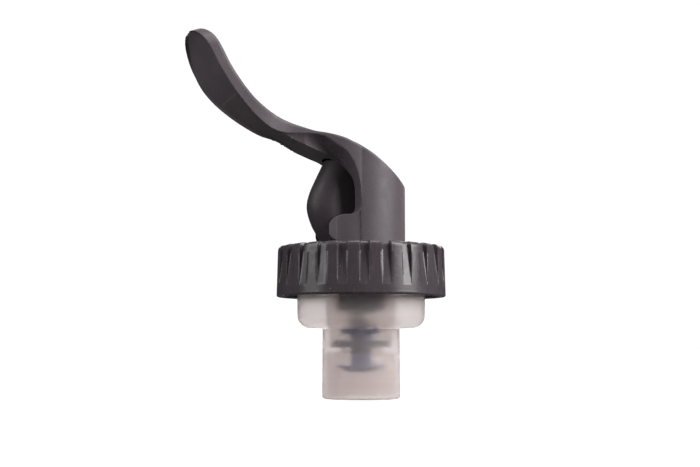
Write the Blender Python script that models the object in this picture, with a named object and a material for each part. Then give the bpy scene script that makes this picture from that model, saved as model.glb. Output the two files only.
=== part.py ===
"""Liquor pour spout: a thumb lever with a hood, on a screw-on collar with a stopper and a lift valve.

The origin is on the spout's axis, in the plane where the bottle's rim seats. +Z is up and the thumb
paddle points to -X. Lengths below are in millimetres and become metres in the mesh helpers.
"""

import math

import bmesh
import bpy
from mathutils import Matrix, Vector

MM = 0.001
GAP = 0.3  # clearance between pieces that touch
AROUND = 48  # facets round a large turned piece
AROUND_SMALL = 24  # facets round a small turned piece

# Lever: one joint axis along Y through the ears
PIVOT_X = -7.2
PIVOT_Z = 8.85
TILT_MAX = 25.0  # degrees, thumb pressed fully down
LIFT_PER_RADIAN = 6.8  # valve travel that the cam track gives
PIN_RADIUS = 1.3
PIN_HALF_LENGTH = 7.0

# Hood
HOOD_RADIUS = 11.3
HOOD_CAVITY_RADIUS = 8.95
HOOD_BOTTOM_Z = 5.3
HOOD_START_X = -3.6
EAR_RADIUS = 3.5
EAR_CENTER_X = -0.4
EAR_HALF_LENGTH = 11.8
EAR_HALF_WIDTH = 10.75
SLOT_HALF_WIDTH = 5.5
SLOT_END_X = -10.2

# Thumb paddle
PADDLE_HALF_WIDTH = 11.8
NECK_HALF_WIDTH = 5.2
NECK_X = -21.0
PADDLE_TIP_LENGTH = 8.0
TROUGH_DEPTH = 0.7
EDGE_ROUND = 0.8

# Turret
KEEL_HALF_WIDTH = SLOT_HALF_WIDTH - GAP
KEEL_WALL = 1.3
KEEL_FLOOR_Z = 13.4
KEEL_TOP_RADIUS = 17.1  # about the pivot, so the hood's roof sweeps over it
TURRET_RADIUS = 8.2
TURRET_TOP_Z = 12.0
SPIGOT_RADIUS = 9.3
SPIGOT_BOTTOM_Z = -6.5
CHANNEL_RADIUS = 4.2
CHANNEL_TOP_Z = 11.2
MOUTH_HALF_WIDTH = 3.3
MOUTH_BOTTOM_Z = 6.5
RING_GROOVE_Z = (-5.9, -4.5)
O_RING_GROOVE_Z = (-3.0, -1.2)
GROOVE_RADIUS = 8.4

# Collar
COLLAR_TOP_Z = 5.0
COLLAR_BOTTOM_Z = -7.8
COLLAR_TOP_RADIUS = 21.2
COLLAR_BOTTOM_RADIUS = 21.5
COLLAR_DECK_Z = 3.2
COLLAR_BORE = 19.3
COLLAR_MOUTH = 20.0
COLLAR_HOLE = SPIGOT_RADIUS + GAP
FLUTES = 25
FLUTE_DEPTH = 1.15
FLUTE_BOTTOM_Z = -5.4
THREAD_PITCH = 4.2
THREAD_TURNS = 1.25
THREAD_CREST = 18.5

# Stopper plug
PLUG_TOP_Z = 2.1
FLANGE_RADIUS = 19.0
SHOULDER_RADIUS = 16.45
SHOULDER_BOTTOM_Z = -15.6
STEM_RADIUS = 9.8
STEM_BOTTOM_Z = -33.3
STEM_BORE = 8.2
SEAT_Z = -20.6
SEAT_HOLE = 5.0
CHAMBER_RADIUS = 7.4

# Lift valve
ROD_RADIUS = 1.25
LIFT_PIN_Z = 18.6
LIFT_PIN_RADIUS = 0.85
POPPET_RADIUS = 7.0
DISC_RADIUS = 6.2
DISC_TOP_Z = -25.0
DISC_BOTTOM_Z = -26.9
FLANGE_TOP_Z = -15.6

# Return spring
WIRE_RADIUS = 0.35
SPRING_RADIUS = 3.6
SPRING_BOTTOM_Z = -14.1
SPRING_TOP_Z = -2.4
SPRING_TURNS = 7

# The lever's side view: matching stations along its top line, its outer lower line and its slot edge
TOP_LINE = [
    (-43.9, 58.2), (-41.4, 54.7), (-39.3, 50.7), (-37.2, 46.9), (-34.5, 43.6), (-31.0, 40.35),
    (-27.2, 37.9), (-23.7, 36.2), (-20.9, 35.2), (-17.8, 34.15), (-14.6, 33.1), (-12.1, 32.6),
    (-9.6, 32.15), (-7.4, 31.4), (-5.9, 30.65), (-4.9, 30.2), (-4.1, 29.85), (-3.7, 29.65),
]
SIDE_LINE = [
    (-45.8, 57.3), (-43.7, 53.6), (-41.7, 49.6), (-39.5, 45.5), (-36.6, 41.8), (-32.9, 38.2),
    (-29.0, 35.2), (-25.3, 33.0), (-22.0, 32.25), (-18.6, 32.45), (-15.0, 32.3), (-12.3, 31.6),
    (-9.6, 29.65), (-7.4, 27.9), (-5.9, 25.7), (-4.9, 23.2), (-4.1, 20.0), (-3.7, 15.5),
]
SLOT_LINE = SIDE_LINE[:8] + [
    (-22.0, 31.65), (-18.6, 30.2), (-15.2, 28.95), (-12.4, 27.9), (-9.7, 26.9), (-7.4, 25.4),
    (-5.9, 23.8), (-4.9, 22.6), (-4.1, 21.6), (-3.7, 21.2),
]
ROOF_LINE = [(-3.6, 29.6), (-0.9, 27.9), (2.0, 25.8), (4.9, 23.7), (8.4, 21.35), (10.6, 20.45), (11.3, 20.2)]
CEILING_LINE = [(-3.0, 27.4), (0.0, 25.3), (3.0, 23.1), (6.0, 21.0), (9.0, 18.9)]
NOSE_LINE = [
    (5.0, -9.8), (7.6, -11.6), (10.2, -13.1), (13.4, -14.2), (16.0, -14.3), (18.9, -13.5),
    (22.0, -12.1), (27.0, -9.7),
]


def clear_scene():
    for obj in list(bpy.data.objects):
        bpy.data.objects.remove(obj, do_unlink=True)


# ---------------------------------------------------------------- materials


def make_material(name, color, roughness, metallic=0.0, transmission=0.0):
    material = bpy.data.materials.new(name)
    material.use_nodes = True
    shader = material.node_tree.nodes["Principled BSDF"]
    shader.inputs["Base Color"].default_value = (*color, 1.0)
    shader.inputs["Roughness"].default_value = roughness
    shader.inputs["Metallic"].default_value = metallic
    shader.inputs["Transmission Weight"].default_value = transmission
    material.diffuse_color = (*color, 1.0)
    return material


def lever_plastic():
    return make_material("lever_plastic", (0.105, 0.092, 0.100), 0.48)


def turret_plastic():
    return make_material("turret_plastic", (0.050, 0.043, 0.047), 0.50)


def collar_plastic():
    return make_material("collar_plastic", (0.080, 0.070, 0.076), 0.30)


def milky_plastic():
    return make_material("milky_plastic", (0.80, 0.72, 0.70), 0.35, transmission=0.6)


def blue_plastic():
    return make_material("blue_plastic", (0.06, 0.10, 0.26), 0.40)


def grey_plastic():
    return make_material("grey_plastic", (0.10, 0.10, 0.12), 0.45)


def soft_rubber():
    return make_material("soft_rubber", (0.04, 0.04, 0.045), 0.75)


def pale_silicone():
    return make_material("pale_silicone", (0.62, 0.60, 0.58), 0.60)


def steel():
    return make_material("steel", (0.62, 0.62, 0.63), 0.25, metallic=1.0)


def acetal():
    return make_material("acetal", (0.72, 0.70, 0.66), 0.40)


# ---------------------------------------------------------------- mesh helpers


def add_object(name, bm, material, smooth_angle=35.0):
    """Turns a bmesh in millimetres into an object in metres, with its normals outward."""
    bmesh.ops.remove_doubles(bm, verts=bm.verts, dist=1e-4)
    bmesh.ops.recalc_face_normals(bm, faces=bm.faces)
    bmesh.ops.scale(bm, vec=(MM, MM, MM), verts=bm.verts)
    mesh = bpy.data.meshes.new(name)
    bm.to_mesh(mesh)
    bm.free()
    mesh.shade_smooth()
    mesh.set_sharp_from_angle(angle=math.radians(smooth_angle))
    obj = bpy.data.objects.new(name, mesh)
    bpy.context.scene.collection.objects.link(obj)
    if material:
        mesh.materials.append(material)
    return obj


def turned(profile, steps=AROUND, angle=360.0, start=0.0):
    """A closed profile of (radius, z) points spun about Z; under 360 degrees its ends are capped."""
    bm = bmesh.new()
    verts = [bm.verts.new((radius, 0.0, z)) for radius, z in profile]
    if angle >= 360.0:
        edges = [bm.edges.new((verts[i - 1], verts[i])) for i in range(len(verts))]
        geometry = verts + edges
    else:
        geometry = [bm.faces.new(verts)]
    bmesh.ops.rotate(bm, cent=(0, 0, 0), matrix=Matrix.Rotation(math.radians(start), 3, "Z"), verts=bm.verts)
    bmesh.ops.spin(
        bm, geom=geometry, cent=(0, 0, 0), axis=(0, 0, 1), angle=math.radians(angle), steps=steps,
        use_merge=angle >= 360.0,
    )
    bmesh.ops.remove_doubles(bm, verts=bm.verts, dist=1e-4)
    flat = [face for face in bm.faces if face.calc_area() < 1e-9]
    bmesh.ops.delete(bm, geom=flat, context="FACES")
    loose = [edge for edge in bm.edges if not edge.link_faces]
    bmesh.ops.delete(bm, geom=loose, context="EDGES")
    return bm


def tube_profile(inner, outer, bottom, top, chamfer=0.0):
    """The section of a plain ring, with its outer corners chamfered."""
    if not chamfer:
        return [(inner, bottom), (outer, bottom), (outer, top), (inner, top)]
    return [
        (inner, bottom), (outer - chamfer, bottom), (outer, bottom + chamfer),
        (outer, top - chamfer), (outer - chamfer, top), (inner, top),
    ]


def arc(center, radius, start, end, steps):
    """Points of a circular arc in a profile plane, angles in degrees."""
    points = []
    for i in range(steps + 1):
        a = math.radians(start + (end - start) * i / steps)
        points.append((center[0] + radius * math.cos(a), center[1] + radius * math.sin(a)))
    return points


def extruded(outline, half_width, center_y=0.0):
    """An outline of (x, z) points extruded along Y."""
    bm = bmesh.new()
    verts = [bm.verts.new((x, center_y - half_width, z)) for x, z in outline]
    face = bm.faces.new(verts)
    result = bmesh.ops.extrude_face_region(bm, geom=[face])
    moved = [item for item in result["geom"] if isinstance(item, bmesh.types.BMVert)]
    bmesh.ops.translate(bm, vec=(0, 2 * half_width, 0), verts=moved)
    return bm


def stadium_ring(nose_x, end_x, half, z, steps=12):
    """A plan outline with a round nose towards -X and flat sides to end_x."""
    nose = [(nose_x + half + half * math.cos(a), half * math.sin(a), z)
            for a in (math.radians(90 + 180 * i / steps) for i in range(steps + 1))]
    return nose + [(end_x, -half, z), (end_x, half, z)]


def lofted(rings, closed=False):
    """Joins rings of equal length with quads; open lofts get end caps."""
    bm = bmesh.new()
    rows = [[bm.verts.new(point) for point in ring] for ring in rings]
    count = len(rows[0])
    spans = len(rows) if closed else len(rows) - 1
    for i in range(spans):
        low = rows[i]
        high = rows[(i + 1) % len(rows)]
        for j in range(count):
            k = (j + 1) % count
            bm.faces.new((low[j], low[k], high[k], high[j]))
    if not closed:
        bm.faces.new(rows[0])
        bm.faces.new(rows[-1])
    return bm


def rod_along_y(radius, half_length, x, z, steps=AROUND_SMALL):
    """A round bar along Y."""
    bm = bmesh.new()
    bmesh.ops.create_cone(
        bm, cap_ends=True, segments=steps, radius1=radius, radius2=radius, depth=2 * half_length,
        matrix=Matrix.Translation((x, 0, z)) @ Matrix.Rotation(math.radians(90), 4, "X"),
    )
    return bm


def disc_bar(radius, bottom, top, x=0.0, y=0.0, steps=AROUND_SMALL):
    """A round bar along Z."""
    bm = bmesh.new()
    bmesh.ops.create_cone(
        bm, cap_ends=True, segments=steps, radius1=radius, radius2=radius, depth=top - bottom,
        matrix=Matrix.Translation((x, y, (bottom + top) / 2)),
    )
    return bm


def helper(name, bm):
    """A solid used only to cut or to join; it is not a piece of the object."""
    obj = add_object(name, bm, None)
    obj.hide_render = True
    obj.display_type = "WIRE"
    return obj


def combine(target, tool, operation):
    modifier = target.modifiers.new(f"{operation.lower()}_{tool.name}", "BOOLEAN")
    modifier.operation = operation
    modifier.object = tool
    modifier.solver = "EXACT"


def cut(target, tool):
    combine(target, tool, "DIFFERENCE")


def join(target, tool):
    combine(target, tool, "UNION")


def keep_inside(target, tool):
    combine(target, tool, "INTERSECT")


def set_origin(obj, x, y, z):
    """Moves an object's origin without moving its shape."""
    place = Vector((x * MM, y * MM, z * MM))
    obj.data.transform(Matrix.Translation(-place))
    obj.location = place


def attach(obj, empty):
    """Parents an object to an empty that stands at the object's own origin."""
    set_origin(obj, *(value / MM for value in empty.location))
    obj.parent = empty
    obj.location = (0, 0, 0)


def joint_empty(name, x, y, z):
    empty = bpy.data.objects.new(name, None)
    empty.location = (x * MM, y * MM, z * MM)
    empty.empty_display_size = 5 * MM
    bpy.context.scene.collection.objects.link(empty)
    return empty


# ---------------------------------------------------------------- curves


def smoothstep(value):
    t = min(max(value, 0.0), 1.0)
    return t * t * (3 - 2 * t)


def curve_through(points, steps):
    """Catmull-Rom points through a list of points, with steps points to each span."""
    padded = [points[0], *points, points[-1]]
    out = []
    for i in range(1, len(padded) - 2):
        a, b, c, d = (Vector(p) for p in padded[i - 1:i + 3])
        for k in range(steps):
            t = k / steps
            out.append(0.5 * (2 * b + (c - a) * t + (2 * a - 5 * b + 4 * c - d) * t**2
                              + (3 * b - 3 * c + d - a) * t**3))
    out.append(Vector(points[-1]))
    return out


def height_on(line, x):
    """Height of a line of (x, z) points at x."""
    for (x0, z0), (x1, z1) in zip(line, line[1:]):
        if x <= x1:
            return z0 + (z1 - z0) * (x - x0) / (x1 - x0)
    return line[-1][1]


# ---------------------------------------------------------------- thumb lever


def lever_half_width(distance, x):
    """Half width of the lever at a distance along it from the tip: paddle, neck, then flared hood."""
    if x > NECK_X:
        flare = smoothstep((x - NECK_X) / (HOOD_START_X - NECK_X))
        hood = math.sqrt(HOOD_RADIUS**2 - HOOD_START_X**2)
        return NECK_HALF_WIDTH + (hood - NECK_HALF_WIDTH) * flare
    width = PADDLE_HALF_WIDTH - (PADDLE_HALF_WIDTH - NECK_HALF_WIDTH) * smoothstep((distance - 11) / 25)
    if distance < PADDLE_TIP_LENGTH:
        width *= math.sqrt(1 - (1 - distance / PADDLE_TIP_LENGTH) ** 2)
    return width


def lever_ring(top, side, slot, half, slot_half, crown, hollow):
    """One closed cross-section of the lever, from its top centre round to the trough below."""
    bevel = min(EDGE_ROUND, 0.4 * half, 0.3 * (top - side).length)
    down = (side - top).normalized()
    trough = slot - down * hollow
    half_ring = [
        (0.0, top - down * crown),
        (0.55 * half, top - down * crown * 0.7),
        (half - bevel, top),
        (half - 0.3 * bevel, top + down * 0.3 * bevel),
        (half, top + down * bevel),
        (half, side),
        ((half + slot_half) / 2, (side + slot) / 2),
        (slot_half, slot),
        (0.55 * slot_half, slot.lerp(trough, 0.75)),
        (0.0, trough),
    ]
    near = [(p.x, -y, p.y) for y, p in half_ring]
    far = [(p.x, y, p.y) for y, p in reversed(half_ring[1:-1])]
    return near + far


def lever_rings():
    """Sections from the paddle's tip to the hood's front; they stand closest where the tip rounds."""
    tops, sides, slots = (curve_through(line, 3) for line in (TOP_LINE, SIDE_LINE, SLOT_LINE))
    for line in (tops, sides, slots):
        line[1:1] = [line[0].lerp(line[1], share) for share in (0.1, 0.3, 0.6)]
    rings = []
    distance = 0.04
    for i, (top, side, slot) in enumerate(zip(tops, sides, slots)):
        if i:
            distance += (side - sides[i - 1]).length
        half = lever_half_width(distance, side.x)
        slot_half = min(SLOT_HALF_WIDTH, half - min(0.4, 0.2 * half))
        crown = -0.5 + 0.9 * smoothstep((side.x + 36) / 24)
        hollow = TROUGH_DEPTH * min(1.0, half / PADDLE_HALF_WIDTH + 0.3) * smoothstep((-12.0 - side.x) / 8)
        rings.append(lever_ring(top, side, slot, half, slot_half, crown, hollow))
    first = math.degrees(math.asin(HOOD_START_X / HOOD_RADIUS))
    last = 87.0
    stations = 15
    for i in range(stations + 1):
        angle = math.radians(first + (last - first) * i / stations)
        x = HOOD_RADIUS * math.sin(angle)
        half = HOOD_RADIUS * math.cos(angle)
        top = Vector((x, height_on(ROOF_LINE, x)))
        bottom = Vector((x, HOOD_BOTTOM_Z))
        rings.append(lever_ring(top, bottom, bottom, half, 0.7 * half, 0.4 * half / HOOD_RADIUS, 0.0))
    return rings


def ear_solid():
    """Both pivot ears as one block: round about the pivot, and curved in plan like the hood."""
    corner = 2.2
    top = PIVOT_Z + EAR_RADIUS
    outline = arc((PIVOT_X, PIVOT_Z), EAR_RADIUS, 270, 90, 16)
    outline += arc((HOOD_START_X - corner - 0.1, top + corner), corner, 270, 360, 5)
    outline += [(HOOD_START_X + 0.9, top + corner), (HOOD_START_X + 0.9, HOOD_BOTTOM_Z + 0.05)]
    outline += [(PIVOT_X, HOOD_BOTTOM_Z + 0.05)]
    ears = helper("ears", extruded(outline, 12.0))
    plan = helper("ear_plan", disc_bar(1.0, 0.0, 20.0, steps=96))
    plan.scale = (EAR_HALF_LENGTH, EAR_HALF_WIDTH, 1.0)
    plan.location.x = EAR_CENTER_X * MM
    keep_inside(ears, plan)
    return ears


def open_slot_solid():
    """The gap between the ears, open downward and towards the paddle."""
    outline = [(-16.0, 0.0), (-16.0, 21.4), (0.5, 21.4), (0.5, 0.0)]
    return helper("ear_gap", extruded(outline, SLOT_HALF_WIDTH))


def slot_solid():
    """The upper slot that the turret's keel stands in, with a round end under the neck."""
    outline = [
        (-11.0, 21.0), (-11.0, 29.7), (-9.6, 30.0), (-7.4, 29.5), (-4.9, 28.3), (-2.5, 27.0),
        (0.5, 24.8), (0.5, 21.0),
    ]
    slot = helper("keel_slot", extruded(outline, SLOT_HALF_WIDTH + 1.0))
    plan = [stadium_ring(SLOT_END_X, 1.0, SLOT_HALF_WIDTH, z) for z in (20.0, 31.0)]
    keep_inside(slot, helper("keel_slot_plan", lofted(plan)))
    return slot


def cavity_solid():
    """The round hollow of the hood, under its sloping roof."""
    first = math.degrees(math.asin(-3.0 / HOOD_CAVITY_RADIUS))
    rings = []
    for i in range(17):
        angle = math.radians(first + (86.0 - first) * i / 16)
        x = HOOD_CAVITY_RADIUS * math.sin(angle)
        half = HOOD_CAVITY_RADIUS * math.cos(angle)
        roof = height_on(CEILING_LINE, x)
        rings.append([(x, -half, 0.0), (x, -half, roof), (x, half, roof), (x, half, 0.0)])
    return helper("hood_cavity", lofted(rings))


def cam_point(tilt, offset):
    """A point of the cam track in the lever's rest frame: the lift pin's path, moved down by offset."""
    a = math.radians(tilt)
    arm = -PIVOT_X
    height = LIFT_PIN_Z - PIVOT_Z + LIFT_PER_RADIAN * a
    x = arm * math.cos(a) + height * math.sin(a)
    z = height * math.cos(a) - arm * math.sin(a)
    return (PIVOT_X + x, PIVOT_Z + z - offset)


def cam_rib(name, side):
    """A hooked rib on the hood's front wall, whose cam track lifts the valve's cross pin."""
    track_drop = LIFT_PIN_RADIUS + 0.2
    ledge = 1.5
    tilts = [-9, -4, 0, 5, 10, 15, 20, TILT_MAX, TILT_MAX + 6]
    track = [cam_point(tilt, track_drop) for tilt in tilts]
    under = [(x, z - ledge) for x, z in track]
    front = 8.8
    outline = under + [(front, under[-1][1]), (front, 19.6), (track[-1][0], 22.2)] + track[::-1]
    return helper(name, extruded(outline, 0.5, center_y=side * 2.8))


def build_thumb_lever(empty):
    lever = add_object("thumb_lever", lofted(lever_rings()), lever_plastic())
    join(lever, ear_solid())
    cut(lever, open_slot_solid())
    cut(lever, slot_solid())
    cut(lever, cavity_solid())
    for name, side in (("cam_rib_left", -1), ("cam_rib_right", 1)):
        join(lever, cam_rib(name, side))
    recess = turned(tube_profile(8.4, 9.95, 6.0, 12.3), steps=10, angle=56.0, start=-28.0)
    cut(lever, helper("seal_recess", recess))
    socket = rod_along_y(PIN_RADIUS + 0.15, PIN_HALF_LENGTH + 0.2, PIVOT_X, PIVOT_Z)
    cut(lever, helper("pin_socket", socket))
    attach(lever, empty)


def build_pivot_pin(empty):
    pin = add_object("pivot_pin", rod_along_y(PIN_RADIUS, PIN_HALF_LENGTH, PIVOT_X, PIVOT_Z), steel())
    attach(pin, empty)


def build_mouth_seal(empty):
    """The soft pad in the hood, curved to the turret's face."""
    pad = turned(tube_profile(8.62, 9.7, 6.3, 12.0, chamfer=0.3), steps=10, angle=50.0, start=-25.0)
    seal = add_object("mouth_seal", pad, pale_silicone())
    attach(seal, empty)


# ---------------------------------------------------------------- turret


def keel_rings(inset, bottom, end_x):
    rings = []
    for z, x in curve_through(NOSE_LINE, 2):
        if z > bottom - 0.01:
            rings.append(stadium_ring(x + inset, end_x, KEEL_HALF_WIDTH - inset, z))
    return rings


def keel_sweep():
    """What the keel may fill: under the hood's roof as it swings, but close under the lever's neck."""
    center = (PIVOT_X, PIVOT_Z)
    outline = arc(center, KEEL_TOP_RADIUS, -45, 84, 14)
    for extra, angle in ((0.4, 91), (1.0, 97.5), (1.8, 104)):
        outline += arc(center, KEEL_TOP_RADIUS + extra, angle, angle, 1)[:1]
    outline += [(-20.0, 27.0), (-20.0, -5.0)]
    return helper("keel_sweep", extruded(outline, 12.0))


def spigot_profile():
    low, high = RING_GROOVE_Z
    low_o, high_o = O_RING_GROOVE_Z
    return [
        (0.0, SPIGOT_BOTTOM_Z), (SPIGOT_RADIUS - 0.5, SPIGOT_BOTTOM_Z), (SPIGOT_RADIUS, SPIGOT_BOTTOM_Z + 0.5),
        (SPIGOT_RADIUS, low), (GROOVE_RADIUS, low), (GROOVE_RADIUS, high), (SPIGOT_RADIUS, high),
        (SPIGOT_RADIUS, low_o), (GROOVE_RADIUS, low_o), (GROOVE_RADIUS, high_o), (SPIGOT_RADIUS, high_o),
        (SPIGOT_RADIUS, COLLAR_TOP_Z), (0.0, COLLAR_TOP_Z),
    ]


def turret_solid():
    """The round stand of the pour mouth; its top edge is chamfered to clear the hood's seal."""
    chamfer = 0.6
    profile = [
        (0.0, COLLAR_TOP_Z - 1), (TURRET_RADIUS, COLLAR_TOP_Z - 1), (TURRET_RADIUS, TURRET_TOP_Z - chamfer),
        (TURRET_RADIUS - chamfer, TURRET_TOP_Z), (0.0, TURRET_TOP_Z),
    ]
    stand = helper("mouth_stand", turned(profile))
    front = [(-1.5, 0.0), (12.0, 0.0), (12.0, 20.0), (-1.5, 20.0)]
    keep_inside(stand, helper("stand_front", extruded(front, 12.0)))
    return stand


def build_spout_body():
    body = add_object("spout_body", turned(spigot_profile()), turret_plastic())
    keel = helper("keel", lofted(keel_rings(0.0, 0.0, 5.2)))
    keep_inside(keel, keel_sweep())
    hollow = helper("keel_hollow", lofted(keel_rings(KEEL_WALL, KEEL_FLOOR_Z, 9.0)))
    back_open = [(1.5, KEEL_FLOOR_Z), (9.0, KEEL_FLOOR_Z), (9.0, 30.0), (1.5, 30.0)]
    cut(keel, hollow)
    cut(keel, helper("keel_back", extruded(back_open, 9.0)))
    join(body, keel)
    join(body, turret_solid())
    bore = [
        (0.0, SPIGOT_BOTTOM_Z - 1), (6.5, SPIGOT_BOTTOM_Z - 1), (6.5, -0.2), (CHANNEL_RADIUS, -0.2),
        (CHANNEL_RADIUS, CHANNEL_TOP_Z), (1.6, CHANNEL_TOP_Z), (1.6, 12.0), (3.4, 12.0),
        (3.4, 14.0), (0.0, 14.0),
    ]
    cut(body, helper("flow_bore", turned(bore, steps=AROUND_SMALL)))
    mouth = [(0.0, MOUTH_BOTTOM_Z), (12.0, MOUTH_BOTTOM_Z), (12.0, CHANNEL_TOP_Z), (0.0, CHANNEL_TOP_Z)]
    cut(body, helper("pour_mouth", extruded(mouth, MOUTH_HALF_WIDTH)))
    cut(body, helper("pin_bore", rod_along_y(PIN_RADIUS + 0.15, 8.0, PIVOT_X, PIVOT_Z)))


def build_rod_wiper():
    profile = [(1.45, 12.2), (3.1, 12.2), (3.1, 13.2), (2.2, 13.2), (1.8, 12.7), (1.45, 12.9)]
    add_object("rod_wiper", turned(profile, steps=AROUND_SMALL), soft_rubber())


def build_wiper_cap():
    profile = tube_profile(1.6, 3.6, KEEL_FLOOR_Z + 0.2, KEEL_FLOOR_Z + 0.8, chamfer=0.15)
    add_object("wiper_cap", turned(profile, steps=AROUND_SMALL), acetal())


def build_valve_guide():
    """The tube round the spring, with a drilled ceiling that lets the drink through."""
    outer, inner = 6.2, 4.9
    low, high, ceiling = -11.3, -0.5, -1.7
    profile = [
        (inner, low), (outer, low), (outer, high), (1.6, high), (1.6, ceiling), (inner, ceiling),
    ]
    guide = add_object("valve_guide", turned(profile, steps=36), grey_plastic())
    ports = 6
    for i in range(ports):
        a = 2 * math.pi * i / ports
        port = disc_bar(0.95, ceiling - 1, high + 1, 3.25 * math.cos(a), 3.25 * math.sin(a), steps=10)
        cut(guide, helper(f"guide_port_{i + 1}", port))


def build_retaining_ring():
    low, high = RING_GROOVE_Z
    section = tube_profile(GROOVE_RADIUS + GAP, 10.2, low + 0.4, high - 0.4)
    ring = turned(section, steps=44, angle=330.0, start=15.0)
    add_object("retaining_ring", ring, steel())


def build_body_o_ring():
    low, high = O_RING_GROOVE_Z
    section = arc((9.07, (low + high) / 2), 0.5, 0, 315, 7)
    add_object("body_o_ring", turned(section, steps=36), soft_rubber())


def build_slip_washer():
    profile = tube_profile(9.9, 15.0, PLUG_TOP_Z + GAP, COLLAR_DECK_Z - GAP)
    add_object("slip_washer", turned(profile, steps=48), acetal())


def build_rim_gasket():
    profile = tube_profile(16.8, 18.3, 0.0, 0.8)
    add_object("rim_gasket", turned(profile), soft_rubber())


# ---------------------------------------------------------------- screw collar


def collar_radius(z):
    share = (z - COLLAR_BOTTOM_Z) / (COLLAR_TOP_Z - COLLAR_BOTTOM_Z)
    return COLLAR_BOTTOM_RADIUS + (COLLAR_TOP_RADIUS - COLLAR_BOTTOM_RADIUS) * share


def flute_depth(z):
    """Depth of a flute: none at the plain band, deepest at the top."""
    return FLUTE_DEPTH * max(0.0, (z - FLUTE_BOTTOM_Z) / (COLLAR_TOP_Z - FLUTE_BOTTOM_Z))


def collar_ring(radius, z, depth=0.0):
    """Points round the collar, four to each flute: two on the land, two on the flat floor."""
    pitch = 360.0 / FLUTES
    ring = []
    for i in range(FLUTES):
        for share, sunk in ((0.295, 0.0), (0.315, 1.0), (0.735, 1.0), (0.755, 0.0)):
            a = math.radians(pitch * (i + share))
            r = radius - depth * sunk
            ring.append((r * math.cos(a), r * math.sin(a), z))
    return ring


def collar_rings():
    """Sections from the outer bottom edge, up the fluted wall, over the top and back inside."""
    rings = [
        collar_ring(COLLAR_MOUTH + 0.3, COLLAR_BOTTOM_Z),
        collar_ring(COLLAR_BOTTOM_RADIUS - 0.5, COLLAR_BOTTOM_Z),
        collar_ring(COLLAR_BOTTOM_RADIUS - 0.1, COLLAR_BOTTOM_Z + 0.25),
        collar_ring(COLLAR_BOTTOM_RADIUS, COLLAR_BOTTOM_Z + 0.6),
    ]
    round_radius = 1.0
    for z in (FLUTE_BOTTOM_Z - 0.05, FLUTE_BOTTOM_Z + 0.3, 0.0, COLLAR_TOP_Z - round_radius):
        rings.append(collar_ring(collar_radius(z), z, flute_depth(z)))
    for a in (30, 60, 90):
        inward = round_radius * (1 - math.cos(math.radians(a)))
        z = COLLAR_TOP_Z - round_radius * (1 - math.sin(math.radians(a)))
        rings.append(collar_ring(COLLAR_TOP_RADIUS - inward, z, flute_depth(z) * (1 - inward / round_radius)))
    rings += [
        collar_ring(COLLAR_HOLE + 0.3, COLLAR_TOP_Z),
        collar_ring(COLLAR_HOLE, COLLAR_TOP_Z - 0.3),
        collar_ring(COLLAR_HOLE, COLLAR_DECK_Z),
        collar_ring(COLLAR_BORE, COLLAR_DECK_Z),
        collar_ring(COLLAR_BORE, COLLAR_BOTTOM_Z + 3.2),
        collar_ring(COLLAR_MOUTH, COLLAR_BOTTOM_Z + 2.4),
        collar_ring(COLLAR_MOUTH, COLLAR_BOTTOM_Z + 0.3),
    ]
    return rings


def thread_solid():
    """The internal thread: a helical ridge that runs out at both ends."""
    steps = 56
    rings = []
    bottom = COLLAR_BOTTOM_Z + 1.6
    for i in range(steps + 1):
        t = i / steps
        a = 2 * math.pi * THREAD_TURNS * t
        z = bottom + THREAD_PITCH * THREAD_TURNS * t
        rise = smoothstep(min(t, 1 - t) * 8)
        root = COLLAR_MOUTH + 0.2
        crest = COLLAR_MOUTH - (COLLAR_MOUTH - THREAD_CREST) * max(rise, 0.05)
        section = [(root, z - 1.0), (root, z + 1.0), (crest, z + 0.35), (crest, z - 0.35)]
        rings.append([(r * math.cos(a), r * math.sin(a), height) for r, height in section])
    return helper("collar_thread", lofted(rings))


def build_screw_collar():
    collar = add_object("screw_collar", lofted(collar_rings(), closed=True), collar_plastic())
    join(collar, thread_solid())


# ---------------------------------------------------------------- stopper plug


def plug_profile():
    """The plug's section: stem and seat inside, then the shoulder, corner and flange outside."""
    low, high = RING_GROOVE_Z
    bore = SPIGOT_RADIUS + 0.45
    inside = [
        (bore, PLUG_TOP_Z), (bore, high), (10.5, high), (10.5, low), (bore, low), (bore, -7.0),
        (STEM_BORE, -7.0), (STEM_BORE, -14.6), (CHAMBER_RADIUS, -14.6), (CHAMBER_RADIUS, SEAT_Z),
        (SEAT_HOLE, SEAT_Z), (SEAT_HOLE, SEAT_Z - 1.2), (STEM_BORE, SEAT_Z - 1.2),
        (STEM_BORE, STEM_BOTTOM_Z + 0.3), (STEM_BORE + 0.3, STEM_BOTTOM_Z),
    ]
    edge = 0.7
    foot = arc((STEM_RADIUS + 0.05 - edge, STEM_BOTTOM_Z + edge), edge, 270, 360, 4)
    fillet = 0.5
    throat = arc((STEM_RADIUS - 0.05 + fillet, SHOULDER_BOTTOM_Z - fillet), fillet, 180, 90, 3)
    corner = 3.2
    low_radius = SHOULDER_RADIUS - 0.3
    knee = arc((low_radius - corner, SHOULDER_BOTTOM_Z + corner), corner, 270, 360, 7)
    flange = [
        (SHOULDER_RADIUS, PLUG_TOP_Z - 1.0), (FLANGE_RADIUS, PLUG_TOP_Z - 1.0), (FLANGE_RADIUS, PLUG_TOP_Z),
    ]
    return inside + foot + throat + knee + flange


def build_stopper_plug():
    add_object("stopper_plug", turned(plug_profile()), milky_plastic(), smooth_angle=30.0)


# ---------------------------------------------------------------- lift valve


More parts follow.
